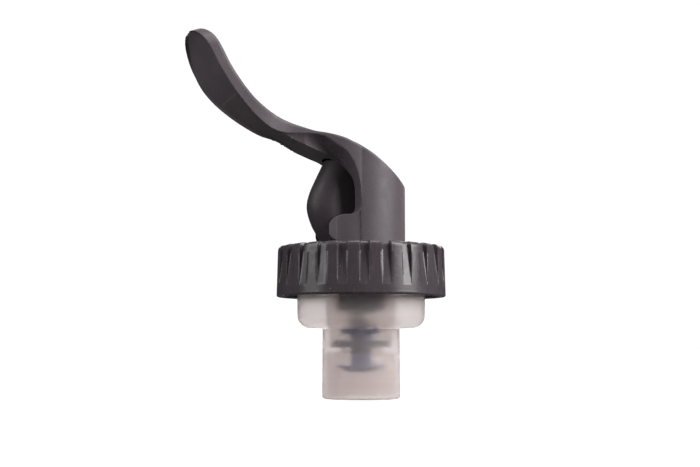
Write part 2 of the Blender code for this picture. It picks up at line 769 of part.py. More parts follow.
def build_valve_rod(empty):
    """The rod with an eyed head for the cross pin."""
    head_low, head_high, head_radius = LIFT_PIN_Z - 1.6, LIFT_PIN_Z + 1.6, 2.0
    profile = [
        (0.0, -19.5), (ROD_RADIUS - 0.2, -19.5), (ROD_RADIUS, -19.3), (ROD_RADIUS, head_low - 0.5),
        (head_radius, head_low), (head_radius, head_high - 0.4), (head_radius - 0.4, head_high),
        (0.0, head_high),
    ]
    rod = add_object("valve_rod", turned(profile, steps=22), steel())
    eye = helper("rod_eye", rod_along_y(LIFT_PIN_RADIUS + 0.15, 3.0, 0.0, LIFT_PIN_Z, steps=20))
    cut(rod, eye)
    attach(rod, empty)


def build_lift_pin(empty):
    pin = add_object("lift_pin", rod_along_y(LIFT_PIN_RADIUS, 3.6, 0.0, LIFT_PIN_Z, steps=20), steel())
    attach(pin, empty)


def build_rod_clip(empty):
    clip = turned(tube_profile(ROD_RADIUS + 0.15, 2.0, 14.8, 15.3), steps=20, angle=300.0, start=30.0)
    attach(add_object("rod_clip", clip, steel()), empty)


def build_valve_stem(empty):
    profile = [
        (ROD_RADIUS + 0.15, -14.0), (ROD_RADIUS + 0.15, -19.8), (0.0, -19.8), (0.0, -23.6), (1.9, -23.6),
        (1.9, -18.5), (2.9, -18.5), (2.9, FLANGE_TOP_Z - 1.5), (4.55, FLANGE_TOP_Z - 1.5),
        (4.85, FLANGE_TOP_Z - 1.2), (4.85, FLANGE_TOP_Z - 0.2), (4.65, FLANGE_TOP_Z), (2.2, FLANGE_TOP_Z),
        (2.2, -14.0),
    ]
    attach(add_object("valve_stem", turned(profile, steps=32), blue_plastic()), empty)


def build_poppet_seal(empty):
    profile = [
        (2.1, -20.35), (6.4, -20.35), (POPPET_RADIUS, -19.9), (POPPET_RADIUS, -19.1), (6.7, -18.8), (2.1, -18.8),
    ]
    attach(add_object("poppet_seal", turned(profile, steps=36), grey_plastic()), empty)


def build_valve_disc(empty):
    """The neck and the lens: flat on top, with a round underside."""
    sag = DISC_TOP_Z - DISC_BOTTOM_Z - 0.3
    lens_radius = (DISC_RADIUS**2 + sag**2) / (2 * sag)
    center_z = DISC_BOTTOM_Z + lens_radius
    half_angle = math.degrees(math.asin(DISC_RADIUS / lens_radius))
    lens = arc((0.0, center_z), lens_radius, 270, 270 + half_angle, 6)
    profile = lens + [
        (DISC_RADIUS, DISC_TOP_Z), (2.75, DISC_TOP_Z), (2.55, DISC_TOP_Z + 0.2), (2.55, -20.65), (2.1, -20.65),
        (2.1, -23.9), (0.0, -23.9),
    ]
    attach(add_object("valve_disc", turned(profile, steps=36), blue_plastic()), empty)


def build_spring_washer(empty):
    profile = tube_profile(2.45, 4.6, FLANGE_TOP_Z + GAP, FLANGE_TOP_Z + GAP + 0.5)
    attach(add_object("spring_washer", turned(profile, steps=32), steel()), empty)


def build_return_spring():
    """A coil with a closed turn at each end, swept as one tube."""
    per_turn = 14
    steps = SPRING_TURNS * per_turn
    sides = 6
    closed_rise = 2 * WIRE_RADIUS + 0.1
    open_turns = SPRING_TURNS - 2
    pitch = (SPRING_TOP_Z - SPRING_BOTTOM_Z - 2 * closed_rise) / open_turns
    rings = []
    z = SPRING_BOTTOM_Z
    for i in range(steps + 1):
        turn = i / per_turn
        a = 2 * math.pi * turn
        out = Vector((math.cos(a), math.sin(a), 0.0))
        center = out * SPRING_RADIUS + Vector((0, 0, z))
        ring = []
        for k in range(sides):
            b = 2 * math.pi * k / sides
            ring.append(center + out * WIRE_RADIUS * math.cos(b) + Vector((0, 0, WIRE_RADIUS * math.sin(b))))
        rings.append(ring)
        at_end = turn < 1 or turn >= SPRING_TURNS - 1
        z += (closed_rise if at_end else pitch) / per_turn
    add_object("return_spring", lofted(rings), steel())


# ---------------------------------------------------------------- assembly


def build():
    clear_scene()
    lever_joint = joint_empty("lever_pivot", PIVOT_X, 0.0, PIVOT_Z)
    valve_joint = joint_empty("valve_slide", 0.0, 0.0, SEAT_Z)
    build_thumb_lever(lever_joint)
    build_pivot_pin(lever_joint)
    build_mouth_seal(lever_joint)
    build_spout_body()
    build_rod_wiper()
    build_wiper_cap()
    build_valve_guide()
    build_retaining_ring()
    build_body_o_ring()
    build_slip_washer()
    build_rim_gasket()
    build_screw_collar()
    build_stopper_plug()
    build_valve_rod(valve_joint)
    build_lift_pin(valve_joint)
    build_rod_clip(valve_joint)
    build_valve_stem(valve_joint)
    build_poppet_seal(valve_joint)
    build_valve_disc(valve_joint)
    build_spring_washer(valve_joint)
    build_return_spring()


build()
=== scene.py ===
"""Looks of the liquor pour spout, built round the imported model. Lengths are in millimetres unless said."""

import math

import bmesh
import bpy
from mathutils import Matrix, Vector


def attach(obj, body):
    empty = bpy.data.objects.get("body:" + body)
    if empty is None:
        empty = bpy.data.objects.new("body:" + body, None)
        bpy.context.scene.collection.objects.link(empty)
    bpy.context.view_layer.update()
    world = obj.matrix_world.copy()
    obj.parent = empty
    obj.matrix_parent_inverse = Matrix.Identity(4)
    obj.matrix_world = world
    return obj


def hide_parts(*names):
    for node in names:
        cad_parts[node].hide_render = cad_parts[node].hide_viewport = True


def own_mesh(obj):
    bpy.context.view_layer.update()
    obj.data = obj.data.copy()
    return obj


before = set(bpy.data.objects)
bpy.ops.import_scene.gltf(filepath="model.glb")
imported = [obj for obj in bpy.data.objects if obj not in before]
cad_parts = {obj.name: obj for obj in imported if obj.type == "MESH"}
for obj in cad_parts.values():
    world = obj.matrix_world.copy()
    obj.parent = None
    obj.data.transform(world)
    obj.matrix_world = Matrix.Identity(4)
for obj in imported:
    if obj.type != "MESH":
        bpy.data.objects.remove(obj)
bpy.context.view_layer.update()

MM = 0.001

# Camera: at the photograph's angle, in the frame's millimetres
CAMERA_AZIMUTH = 20.0  # degrees towards -X from straight in front
CAMERA_POSITION = (-95.77, -263.11, -18.64)
CAMERA_PITCH = 5.54
CAMERA_YAW = 0.574
CAMERA_LENS = 56.47
SPOUT_MIDDLE = Vector((0.0, 0.0, 0.01))  # metres; the lights point at it

BEYOND = 12.0  # half width of a cutter that reaches past both sides

# Lever, with the CAD model's sizes
PIVOT_X = -7.2
PIVOT_Z = 8.85
PIN_HOLE_RADIUS = 1.45
LIFT_PER_RADIAN = 6.8
LIFT_PIN_Z = 18.6
LIFT_PIN_RADIUS = 0.85
HOOD_RADIUS = 11.3
HOOD_CAVITY_RADIUS = 8.95
HOOD_BOTTOM_Z = 5.3
HOOD_START_X = -3.6
EAR_RADIUS = 3.5
EAR_CENTER_X = -0.4
EAR_HALF_LENGTH = 11.8
EAR_HALF_WIDTH = 10.75
SLOT_HALF_WIDTH = 5.5
SLOT_END_X = -10.2
PADDLE_HALF_WIDTH = 11.8
NECK_HALF_WIDTH = 5.2
NECK_X = -21.0
PADDLE_TIP_LENGTH = 8.0
PADDLE_TAPER_START = 11.0
PADDLE_TAPER_LENGTH = 25.0
TROUGH_DEPTH = 0.7
TROUGH_RIM = 0.5
EDGE_ROUND = 0.8
LEVER_VOXEL = 0.11

# Turret
KEEL_HALF_WIDTH = 5.2
KEEL_WALL = 1.3
KEEL_FLOOR_Z = 13.4
KEEL_TOP_RADIUS = 17.1
TURRET_RADIUS = 8.2
TURRET_TOP_Z = 12.0
SPIGOT_RADIUS = 9.3
SPIGOT_BOTTOM_Z = -6.5
CHANNEL_RADIUS = 4.2
CHANNEL_TOP_Z = 11.2
MOUTH_HALF_WIDTH = 3.3
MOUTH_BOTTOM_Z = 6.5
RING_GROOVE_Z = (-5.9, -4.5)
O_RING_GROOVE_Z = (-3.0, -1.2)
GROOVE_RADIUS = 8.4
TURRET_VOXEL = 0.14

# Collar
COLLAR_TOP_Z = 5.0
COLLAR_BOTTOM_Z = -7.8
COLLAR_TOP_RADIUS = 21.2
COLLAR_BOTTOM_RADIUS = 21.5
COLLAR_DECK_Z = 3.2
COLLAR_BORE = 19.3
COLLAR_MOUTH = 20.0
COLLAR_HOLE = 9.6
FLUTES = 25
FLUTE_DEPTH = 1.15
FLUTE_BOTTOM_Z = -5.4
FLUTE_SPAN = (0.29, 0.76)  # where a flute starts and ends, as shares of one flute's pitch
FLUTE_RAMP = 0.03
THREAD_PITCH = 4.2
THREAD_TURNS = 1.25
THREAD_CREST = 18.5

# Stopper plug
PLUG_TOP_Z = 2.1
FLANGE_RADIUS = 19.0
SHOULDER_RADIUS = 16.45
SHOULDER_BOTTOM_Z = -15.6
STEM_RADIUS = 9.8
STEM_BOTTOM_Z = -33.3
STEM_BORE = 8.2
SEAT_Z = -20.6
SEAT_HOLE = 5.0
CHAMBER_RADIUS = 7.4

# Return spring
WIRE_RADIUS = 0.35
SPRING_RADIUS = 3.6
SPRING_BOTTOM_Z = -14.1
SPRING_TOP_Z = -2.4
SPRING_TURNS = 7

# The lever's side view, close to the CAD model's: top line, outer lower line and slot edge
TOP_LINE = [
    (-43.4, 57.5), (-41.1, 54.5), (-39.0, 50.7), (-36.9, 46.9), (-34.2, 43.6), (-30.7, 40.4),
    (-26.9, 38.0), (-23.4, 36.3), (-20.6, 35.3), (-17.5, 34.3), (-14.4, 33.2), (-12.0, 32.7),
    (-9.6, 32.15), (-7.4, 31.4), (-5.9, 30.65), (-4.9, 30.2), (-4.1, 29.85), (-3.7, 29.65),
]
SIDE_LINE = [
    (-45.6, 56.7), (-43.6, 53.4), (-41.6, 49.5), (-39.4, 45.5), (-36.5, 41.8), (-32.8, 38.2),
    (-28.9, 35.2), (-25.2, 33.1), (-21.9, 32.45), (-18.5, 32.6), (-15.0, 32.4), (-12.3, 31.7),
    (-9.6, 29.65), (-7.4, 27.9), (-5.9, 25.7), (-4.9, 23.2), (-4.1, 20.0), (-3.7, 15.5),
]
SLOT_LINE = SIDE_LINE[:8] + [
    (-21.9, 31.8), (-18.5, 30.3), (-15.2, 28.95), (-12.4, 27.9), (-9.7, 26.9), (-7.4, 25.4),
    (-5.9, 23.8), (-4.9, 22.6), (-4.1, 21.6), (-3.7, 21.2),
]
ROOF_LINE = [
    (-3.6, 29.6), (-0.9, 27.9), (2.0, 25.8), (4.9, 23.7), (8.4, 21.35), (10.6, 20.45), (11.3, 20.2),
]
CEILING_LINE = [(-3.0, 27.4), (0.0, 25.3), (3.0, 23.1), (6.0, 21.0), (9.0, 18.9)]
NOSE_LINE = [
    (5.0, -9.8), (7.6, -11.6), (10.2, -13.1), (13.4, -14.2), (16.0, -14.3), (18.9, -13.5),
    (22.0, -12.1), (27.0, -9.7),
]


# ---------------------------------------------------------------- camera, light and floor


def make_camera():
    data = bpy.data.cameras.new("camera")
    data.lens = CAMERA_LENS
    data.sensor_width = 36.0
    data.clip_start = 0.01
    data.clip_end = 20.0
    camera = bpy.data.objects.new("camera", data)
    bpy.context.scene.collection.objects.link(camera)
    heading = math.radians(CAMERA_AZIMUTH)
    pitch = math.radians(CAMERA_PITCH)
    level = Vector((math.sin(heading), math.cos(heading), 0.0))
    level.rotate(Matrix.Rotation(math.radians(CAMERA_YAW), 3, "Z"))
    forward = level * math.cos(pitch) + Vector((0, 0, math.sin(pitch)))
    camera.location = Vector(CAMERA_POSITION) * MM
    camera.rotation_euler = forward.to_track_quat("-Z", "Y").to_euler()
    bpy.context.scene.camera = camera


def camera_side(right, near, up):
    """A point in metres given from the spout's middle: to the camera's right, towards it, and up."""
    heading = math.radians(CAMERA_AZIMUTH)
    x_axis = Vector((math.cos(heading), -math.sin(heading), 0.0))
    y_axis = Vector((-math.sin(heading), -math.cos(heading), 0.0))
    return x_axis * right + y_axis * near + Vector((0, 0, 1)) * up + SPOUT_MIDDLE


def softbox(name, place, size, power):
    """A rectangular light in metres and watts, turned to the spout's middle."""
    data = bpy.data.lights.new(name, "AREA")
    data.shape = "RECTANGLE"
    data.size, data.size_y = size
    data.energy = power
    light = bpy.data.objects.new(name, data)
    bpy.context.scene.collection.objects.link(light)
    light.location = place
    light.rotation_euler = (SPOUT_MIDDLE - place).to_track_quat("-Z", "Y").to_euler()


def make_lights():
    softbox("left_softbox", camera_side(-0.50, 0.20, 0.25), (0.30, 0.46), 1.65)
    softbox("right_softbox", camera_side(0.46, 0.22, 0.25), (0.30, 0.46), 3.9)
    softbox("top_softbox", camera_side(0.05, 0.06, 0.60), (0.50, 0.40), 2.0)
    softbox("back_softbox", camera_side(0.10, -0.60, 0.30), (0.70, 0.40), 2.0)


def make_world():
    """An even white surround, which lights the spout only dimly."""
    world = bpy.data.worlds.new("surround")
    bpy.context.scene.world = world
    world.use_nodes = True
    tree = world.node_tree
    background = tree.nodes["Background"]
    background.inputs["Color"].default_value = (1.0, 1.0, 1.0, 1.0)
    tree.links.new(seen_strength(tree, 0.09, 1.05), background.inputs["Strength"])


def seen_strength(tree, lighting, seen):
    """The strength seen for rays that come straight or through the plug, and lighting for the others."""
    paths = tree.nodes.new("ShaderNodeLightPath")
    undiffused = tree.nodes.new("ShaderNodeMath")
    undiffused.operation = "LESS_THAN"
    undiffused.inputs[1].default_value = 0.5
    tree.links.new(paths.outputs["Diffuse Depth"], undiffused.inputs[0])
    through = tree.nodes.new("ShaderNodeMath")
    through.operation = "MULTIPLY"
    tree.links.new(undiffused.outputs[0], through.inputs[0])
    tree.links.new(paths.outputs["Is Transmission Ray"], through.inputs[1])
    direct = tree.nodes.new("ShaderNodeMath")
    direct.operation = "MAXIMUM"
    tree.links.new(paths.outputs["Is Camera Ray"], direct.inputs[0])
    tree.links.new(through.outputs[0], direct.inputs[1])
    strength = tree.nodes.new("ShaderNodeMapRange")
    strength.inputs["To Min"].default_value = lighting
    strength.inputs["To Max"].default_value = seen
    tree.links.new(direct.outputs[0], strength.inputs["Value"])
    return strength.outputs["Result"]


def make_floor():
    """A plain white floor that sweeps up far behind the spout."""
    level = STEM_BOTTOM_Z - 0.15
    sweep = [
        (-900, level), (500, level), (640, level + 20), (740, level + 90), (800, level + 220),
        (820, level + 900),
    ]
    half_width = 1.4
    bm = bmesh.new()
    rows = []
    for far, height in curve_through(sweep, 8):
        up = height * MM - SPOUT_MIDDLE.z
        rows.append([bm.verts.new(camera_side(side * half_width, -far * MM, up)) for side in (-1, 1)])
    for low, high in zip(rows, rows[1:]):
        bm.faces.new((low[0], low[1], high[1], high[0]))
    floor = add_mesh("floor", bm, scale=1.0)
    material = bpy.data.materials.new("floor_white")
    material.use_nodes = True
    tree = material.node_tree
    shader = tree.nodes["Principled BSDF"]
    shader.inputs["Base Color"].default_value = (0.09, 0.09, 0.09, 1.0)
    shader.inputs["Roughness"].default_value = 0.9
    shader.inputs["Specular IOR Level"].default_value = 0.0
    shader.inputs["Emission Color"].default_value = (1.0, 1.0, 1.0, 1.0)
    tree.links.new(seen_strength(tree, 0.0, 1.0), shader.inputs["Emission Strength"])
    floor.data.materials.append(material)


# ---------------------------------------------------------------- mesh helpers


def add_mesh(name, bm, scale=MM):
    """Turns a bmesh into a smooth-shaded object; scale takes its units to metres."""
    bmesh.ops.recalc_face_normals(bm, faces=bm.faces)
    if scale != 1.0:
        bmesh.ops.scale(bm, vec=(scale, scale, scale), verts=bm.verts)
    mesh = bpy.data.meshes.new(name)
    bm.to_mesh(mesh)
    bm.free()
    mesh.shade_smooth()
    obj = bpy.data.objects.new(name, mesh)
    bpy.context.scene.collection.objects.link(obj)
    return obj


def turned(profile, steps=144, angle=360.0, start=0.0):
    """A closed profile of (radius, z) points spun about Z; under 360 degrees its ends are capped."""
    full = angle >= 360.0
    rings = []
    for i in range(steps if full else steps + 1):
        a = math.radians(start + angle * i / steps)
        rings.append([(r * math.cos(a), r * math.sin(a), z) for r, z in profile])
    bm = lofted(rings, closed=full)
    bmesh.ops.remove_doubles(bm, verts=bm.verts, dist=1e-4)  # joins the points that lie on the axis
    flat = [face for face in bm.faces if face.calc_area() < 1e-9]
    bmesh.ops.delete(bm, geom=flat, context="FACES")
    loose = [edge for edge in bm.edges if not edge.link_faces]
    bmesh.ops.delete(bm, geom=loose, context="EDGES")
    return bm


def arc(center, radius, start, end, steps):
    """Points of a circular arc in a profile plane, angles in degrees."""
    points = []
    for i in range(steps + 1):
        a = math.radians(start + (end - start) * i / steps)
        points.append((center[0] + radius * math.cos(a), center[1] + radius * math.sin(a)))
    return points


def extruded(outline, half_width, center_y=0.0):
    """An outline of (x, z) points extruded along Y."""
    rings = [[(x, center_y + side * half_width, z) for x, z in outline] for side in (-1, 1)]
    return lofted(rings)


def stadium_ring(nose_x, end_x, half, z, steps=32):
    """A plan outline with a round nose towards -X and flat sides to end_x."""
    nose = [(nose_x + half + half * math.cos(a), half * math.sin(a), z)
            for a in (math.radians(90 + 180 * i / steps) for i in range(steps + 1))]
    return nose + [(end_x, -half, z), (end_x, half, z)]


def lofted(rings, closed=False):
    """Joins rings of equal length with quads; open lofts get end caps."""
    bm = bmesh.new()
    rows = [[bm.verts.new(point) for point in ring] for ring in rings]
    count = len(rows[0])
    spans = len(rows) if closed else len(rows) - 1
    for i in range(spans):
        low = rows[i]
        high = rows[(i + 1) % len(rows)]
        for j in range(count):
            k = (j + 1) % count
            bm.faces.new((low[j], low[k], high[k], high[j]))
    if not closed:
        bm.faces.new(rows[0])
        bm.faces.new(rows[-1])
    return bm


def rod_along_y(radius, half_length, x, z, steps=48):
    """A round bar along Y."""
    bm = bmesh.new()
    bmesh.ops.create_cone(
        bm, cap_ends=True, segments=steps, radius1=radius, radius2=radius, depth=2 * half_length,
        matrix=Matrix.Translation((x, 0, z)) @ Matrix.Rotation(math.radians(90), 4, "X"),
    )
    return bm


def combine(target, bm, operation):
    """Joins a solid to the target, or cuts it away, and applies the result."""
    tool = add_mesh("tool", bm)
    modifier = target.modifiers.new("boolean", "BOOLEAN")
    modifier.operation = operation
    modifier.object = tool
    modifier.solver = "EXACT"
    apply_modifiers(target)
    bpy.data.objects.remove(tool, do_unlink=True)


def apply_modifiers(obj):
    """Replaces the object's mesh with its evaluated one."""
    graph = bpy.context.evaluated_depsgraph_get()
    mesh = bpy.data.meshes.new_from_object(obj.evaluated_get(graph))
    obj.modifiers.clear()
    old = obj.data
    obj.data = mesh
    mesh.name = obj.name
    bpy.data.meshes.remove(old)


def melt(obj, voxel, rounds):
    """Remeshes a solid to even small faces and softens its edges, as a mould's small radii do."""
    remesh = obj.modifiers.new("remesh", "REMESH")
    remesh.mode = "VOXEL"
    remesh.voxel_size = voxel * MM
    remesh.use_smooth_shade = True
    soften = obj.modifiers.new("soften", "SMOOTH")
    soften.factor = 0.5
    soften.iterations = rounds
    apply_modifiers(obj)
    obj.data.shade_smooth()


# ---------------------------------------------------------------- curves


def smoothstep(value):
    t = min(max(value, 0.0), 1.0)
    return t * t * (3 - 2 * t)


def curve_through(points, steps):
    """Catmull-Rom points through a list of points, with steps points to each span."""
    padded = [points[0], *points, points[-1]]
    out = []
    for i in range(1, len(padded) - 2):
        a, b, c, d = (Vector(p) for p in padded[i - 1:i + 3])
        for k in range(steps):
            t = k / steps
            out.append(0.5 * (2 * b + (c - a) * t + (2 * a - 5 * b + 4 * c - d) * t**2
                              + (3 * b - 3 * c + d - a) * t**3))
    out.append(Vector(points[-1]))
    return out


def height_on(line, x):
    """Height of a line of (x, z) points at x."""
    for (x0, z0), (x1, z1) in zip(line, line[1:]):
        if x <= x1:
            return z0 + (z1 - z0) * (x - x0) / (x1 - x0)
    return line[-1][1]


# ---------------------------------------------------------------- thumb lever


def lever_half_width(distance, x):
    """Half width of the lever at a distance along it from the tip: paddle, neck, then flared hood."""
    if x > NECK_X:
        flare = smoothstep((x - NECK_X) / (HOOD_START_X - NECK_X))
        hood = math.sqrt(HOOD_RADIUS**2 - HOOD_START_X**2)
        return NECK_HALF_WIDTH + (hood - NECK_HALF_WIDTH) * flare
    taper = smoothstep((distance - PADDLE_TAPER_START) / PADDLE_TAPER_LENGTH)
    width = PADDLE_HALF_WIDTH - (PADDLE_HALF_WIDTH - NECK_HALF_WIDTH) * taper
    if distance < PADDLE_TIP_LENGTH:
        width *= math.sqrt(1 - (1 - distance / PADDLE_TIP_LENGTH) ** 2)
    return width


def lever_ring(top, side, slot, half, slot_half, crown, hollow):
    """One closed cross-section of the lever, from its top centre round to the trough below."""
    across = 10
    round_steps = 5
    wall_steps = 4
    roll_steps = 6
    below = 14
    trough_wall = 30  # a high power makes the trough's floor wide and its walls steep
    bevel = min(EDGE_ROUND, 0.4 * half, 0.3 * (top - side).length)
    down = (side - top).normalized()
    half_ring = []
    for i in range(across):
        share = i / across
        half_ring.append((share * (half - bevel), top - down * crown * (1 - share**2)))
    for i in range(round_steps + 1):
        a = math.radians(90 * i / round_steps)
        half_ring.append((half - bevel + bevel * math.sin(a), top + down * bevel * (1 - math.cos(a))))
    for i in range(1, wall_steps + 1):
        half_ring.append((half, (top + down * bevel).lerp(side, i / wall_steps)))
    for i in range(1, roll_steps + 1):
        inward = 1 - (1 - i / roll_steps) ** 3
        half_ring.append((half + (slot_half - half) * inward, side.lerp(slot, i / roll_steps)))
    for i in range(1, below + 1):
        share = math.cos(math.radians(90 * i / below))
        half_ring.append((share * slot_half, slot - down * hollow * (1 - share**trough_wall)))
    near = [(p.x, -y, p.y) for y, p in half_ring]
    far = [(p.x, y, p.y) for y, p in reversed(half_ring[1:-1])]
    return near + far


def paddle_rings():
    """Sections from the paddle's tip to the start of the hood."""
    steps = 9
    tops, sides, slots = (curve_through(line, steps) for line in (TOP_LINE, SIDE_LINE, SLOT_LINE))
    for line in (tops, sides, slots):
        line[1:1] = [line[0].lerp(line[1], share) for share in (0.05, 0.15, 0.3, 0.5, 0.75)]
    rings = []
    distance = 0.02  # just past the tip, where the lever has no width
    for i, (top, side, slot) in enumerate(zip(tops, sides, slots)):
        if i:
            distance += (side - sides[i - 1]).length
        half = lever_half_width(distance, side.x)
        widest = SLOT_HALF_WIDTH if side.x > NECK_X else half
        slot_half = min(widest, half - min(TROUGH_RIM, 0.2 * half))
        crown = -0.5 + 0.9 * smoothstep((side.x + 36) / 24)
        hollow = TROUGH_DEPTH * min(1.0, half / PADDLE_HALF_WIDTH + 0.3) * smoothstep((-12.0 - side.x) / 8)
        rings.append(lever_ring(top, side, slot, half, slot_half, crown, hollow))
    return rings


def hood_rings():
    """Sections of the hood, from its start to its front."""
    first = math.degrees(math.asin(HOOD_START_X / HOOD_RADIUS))
    last = 88.5
    stations = 60
    roof = curve_through(ROOF_LINE, 6)
    rings = []
    for i in range(stations + 1):
        angle = math.radians(first + (last - first) * i / stations)
        x = HOOD_RADIUS * math.sin(angle)
        half = HOOD_RADIUS * math.cos(angle)
        top = Vector((x, height_on(roof, x)))
        bottom = Vector((x, HOOD_BOTTOM_Z))
        rings.append(lever_ring(top, bottom, bottom, half, 0.7 * half, 0.4 * half / HOOD_RADIUS, 0.0))
    return rings


def ear_solid():
    """Both pivot ears as one block: round about the pivot, and curved in plan like the hood."""
    corner = 2.2
    top = PIVOT_Z + EAR_RADIUS
    bottom = HOOD_BOTTOM_Z + 0.05
    inside_hood = HOOD_START_X + 0.9
    outline = arc((PIVOT_X, PIVOT_Z), EAR_RADIUS, 270, 90, 40)
    outline += arc((HOOD_START_X - corner - 0.1, top + corner), corner, 270, 360, 12)
    outline += [(inside_hood, top + corner), (inside_hood, bottom), (PIVOT_X, bottom)]
    ears = add_mesh("ears", extruded(outline, BEYOND))
    plan = []
    for z in (0.0, 20.0):
        plan.append([(EAR_CENTER_X + EAR_HALF_LENGTH * math.cos(a), EAR_HALF_WIDTH * math.sin(a), z)
                     for a in (2 * math.pi * i / 240 for i in range(240))])
    combine(ears, lofted(plan), "INTERSECT")
    return ears


def open_slot_solid():
    """The gap between the ears, open downward and towards the paddle."""
    outline = [(-16.0, 0.0), (-16.0, 21.4), (0.5, 21.4), (0.5, 0.0)]
    return extruded(outline, SLOT_HALF_WIDTH)


def slot_solid():
    """The upper slot that the turret's keel stands in, with a round end under the neck."""
    outline = [
        (-11.0, 21.0), (-11.0, 29.7), (-9.6, 30.0), (-7.4, 29.5), (-4.9, 28.3), (-2.5, 27.0),
        (0.5, 24.8), (0.5, 21.0),
    ]
    slot = add_mesh("slot", extruded(outline, SLOT_HALF_WIDTH + 1.0))
    plan = [stadium_ring(SLOT_END_X, 1.0, SLOT_HALF_WIDTH, z) for z in (20.0, 31.0)]
    combine(slot, lofted(plan), "INTERSECT")
    return slot


def cavity_solid():
    """The round hollow of the hood, under its sloping roof."""
    first = math.degrees(math.asin(-3.0 / HOOD_CAVITY_RADIUS))
    stations = 60
    rings = []
    for i in range(stations + 1):
        angle = math.radians(first + (86.0 - first) * i / stations)
        x = HOOD_CAVITY_RADIUS * math.sin(angle)
        half = HOOD_CAVITY_RADIUS * math.cos(angle)
        roof = height_on(CEILING_LINE, x)
        rings.append([(x, -half, 0.0), (x, -half, roof), (x, half, roof), (x, half, 0.0)])
    return lofted(rings)


def cam_point(tilt, offset):
    """A point of the cam track: the lift pin's path in the lever's rest frame, moved down by offset."""
    a = math.radians(tilt)
    arm = -PIVOT_X
    height = LIFT_PIN_Z - PIVOT_Z + LIFT_PER_RADIAN * a
    x = arm * math.cos(a) + height * math.sin(a)
    z = height * math.cos(a) - arm * math.sin(a)
    return (PIVOT_X + x, PIVOT_Z + z - offset)


def cam_rib(side):
    """A hooked rib on the hood's front wall, whose cam track lifts the valve's cross pin."""
    track_drop = LIFT_PIN_RADIUS + 0.2
    ledge = 1.5
    front = 8.8
    track = [cam_point(tilt, track_drop) for tilt in (-9, -4, 0, 5, 10, 15, 20, 25, 31)]
    under = [(x, z - ledge) for x, z in track]
    outline = under + [(front, under[-1][1]), (front, 19.6), (track[-1][0], 22.2)] + track[::-1]
    return extruded(outline, 0.5, center_y=side * 2.8)


def seal_recess():
    """The curved pocket in the hood's front wall that holds the mouth seal."""
    inner = 8.4
    outer = 9.95
    low = 6.0
    high = 12.3
    section = [(inner, low), (outer, low), (outer, high), (inner, high)]
    return turned(section, steps=24, angle=56.0, start=-28.0)


def object_bmesh(obj):
    """Takes a helper object's mesh back as a bmesh in millimetres, and removes the object."""
    bm = bmesh.new()
    bm.from_mesh(obj.data)
    bmesh.ops.scale(bm, vec=(1 / MM,) * 3, verts=bm.verts)
    bpy.data.objects.remove(obj, do_unlink=True)
    return bm


def make_lever():
    lever = add_mesh("lever_moulding", lofted(paddle_rings() + hood_rings()))
    combine(lever, object_bmesh(ear_solid()), "UNION")
    combine(lever, open_slot_solid(), "DIFFERENCE")
    combine(lever, object_bmesh(slot_solid()), "DIFFERENCE")
    combine(lever, cavity_solid(), "DIFFERENCE")
    for side in (-1, 1):
        combine(lever, cam_rib(side), "UNION")
    combine(lever, seal_recess(), "DIFFERENCE")
    combine(lever, rod_along_y(PIN_HOLE_RADIUS, 7.2, PIVOT_X, PIVOT_Z), "DIFFERENCE")
    melt(lever, LEVER_VOXEL, 6)
    lever.data.materials.append(lever_plastic())
    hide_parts("thumb_lever")
    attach(lever, "lever")


# ---------------------------------------------------------------- turret


def keel_rings(inset, bottom, end_x):
    """Plan outlines of the keel from bottom up, drawn in by inset."""
    rings = []
    for z, x in curve_through(NOSE_LINE, 8):
        if z > bottom - 0.01:
            rings.append(stadium_ring(x + inset, end_x, KEEL_HALF_WIDTH - inset, z))
    return rings


def keel_sweep():
    """What the keel may fill: under the hood's roof as it swings, but close under the lever's neck."""
    center = (PIVOT_X, PIVOT_Z)
    outline = arc(center, KEEL_TOP_RADIUS, -45, 84, 60)
    for extra, angle in ((0.4, 91), (1.0, 97.5), (1.8, 104)):
        outline += arc(center, KEEL_TOP_RADIUS + extra, angle, angle, 1)[:1]
    outline += [(-20.0, 27.0), (-20.0, -5.0)]
    return extruded(outline, BEYOND)


def spigot_profile():
    """The spigot's section, with the grooves for the retaining ring and the O-ring."""
    radius = SPIGOT_RADIUS
    chamfer = 0.5
    points = [
        (0.0, SPIGOT_BOTTOM_Z), (radius - chamfer, SPIGOT_BOTTOM_Z), (radius, SPIGOT_BOTTOM_Z + chamfer),
    ]
    for low, high in (RING_GROOVE_Z, O_RING_GROOVE_Z):
        points += [(radius, low), (GROOVE_RADIUS, low), (GROOVE_RADIUS, high), (radius, high)]
    return points + [(radius, COLLAR_TOP_Z), (0.0, COLLAR_TOP_Z)]


def mouth_stand():
    """The round front of the turret, which the pour mouth opens from."""
    chamfer = 0.6
    bottom = COLLAR_TOP_Z - 1
    profile = [
        (0.0, bottom), (TURRET_RADIUS, bottom), (TURRET_RADIUS, TURRET_TOP_Z - chamfer),
        (TURRET_RADIUS - chamfer, TURRET_TOP_Z), (0.0, TURRET_TOP_Z),
    ]
    stand = add_mesh("stand", turned(profile))
    back = -1.5
    front = [(back, 0.0), (BEYOND, 0.0), (BEYOND, 20.0), (back, 20.0)]
    combine(stand, extruded(front, BEYOND), "INTERSECT")
    return stand


def bore_solid():
    """The hollow on the turret's axis: the valve guide's socket, the channel and the wiper's seat."""
    socket_radius = 6.5
    socket_top = -0.2
    rod_hole = 1.6
    seat_radius = 3.4
    seat_bottom = 12.0
    return turned([
        (0.0, SPIGOT_BOTTOM_Z - 1), (socket_radius, SPIGOT_BOTTOM_Z - 1), (socket_radius, socket_top),
        (CHANNEL_RADIUS, socket_top), (CHANNEL_RADIUS, CHANNEL_TOP_Z), (rod_hole, CHANNEL_TOP_Z),
        (rod_hole, seat_bottom), (seat_radius, seat_bottom), (seat_radius, 14.0), (0.0, 14.0),
    ], steps=96)


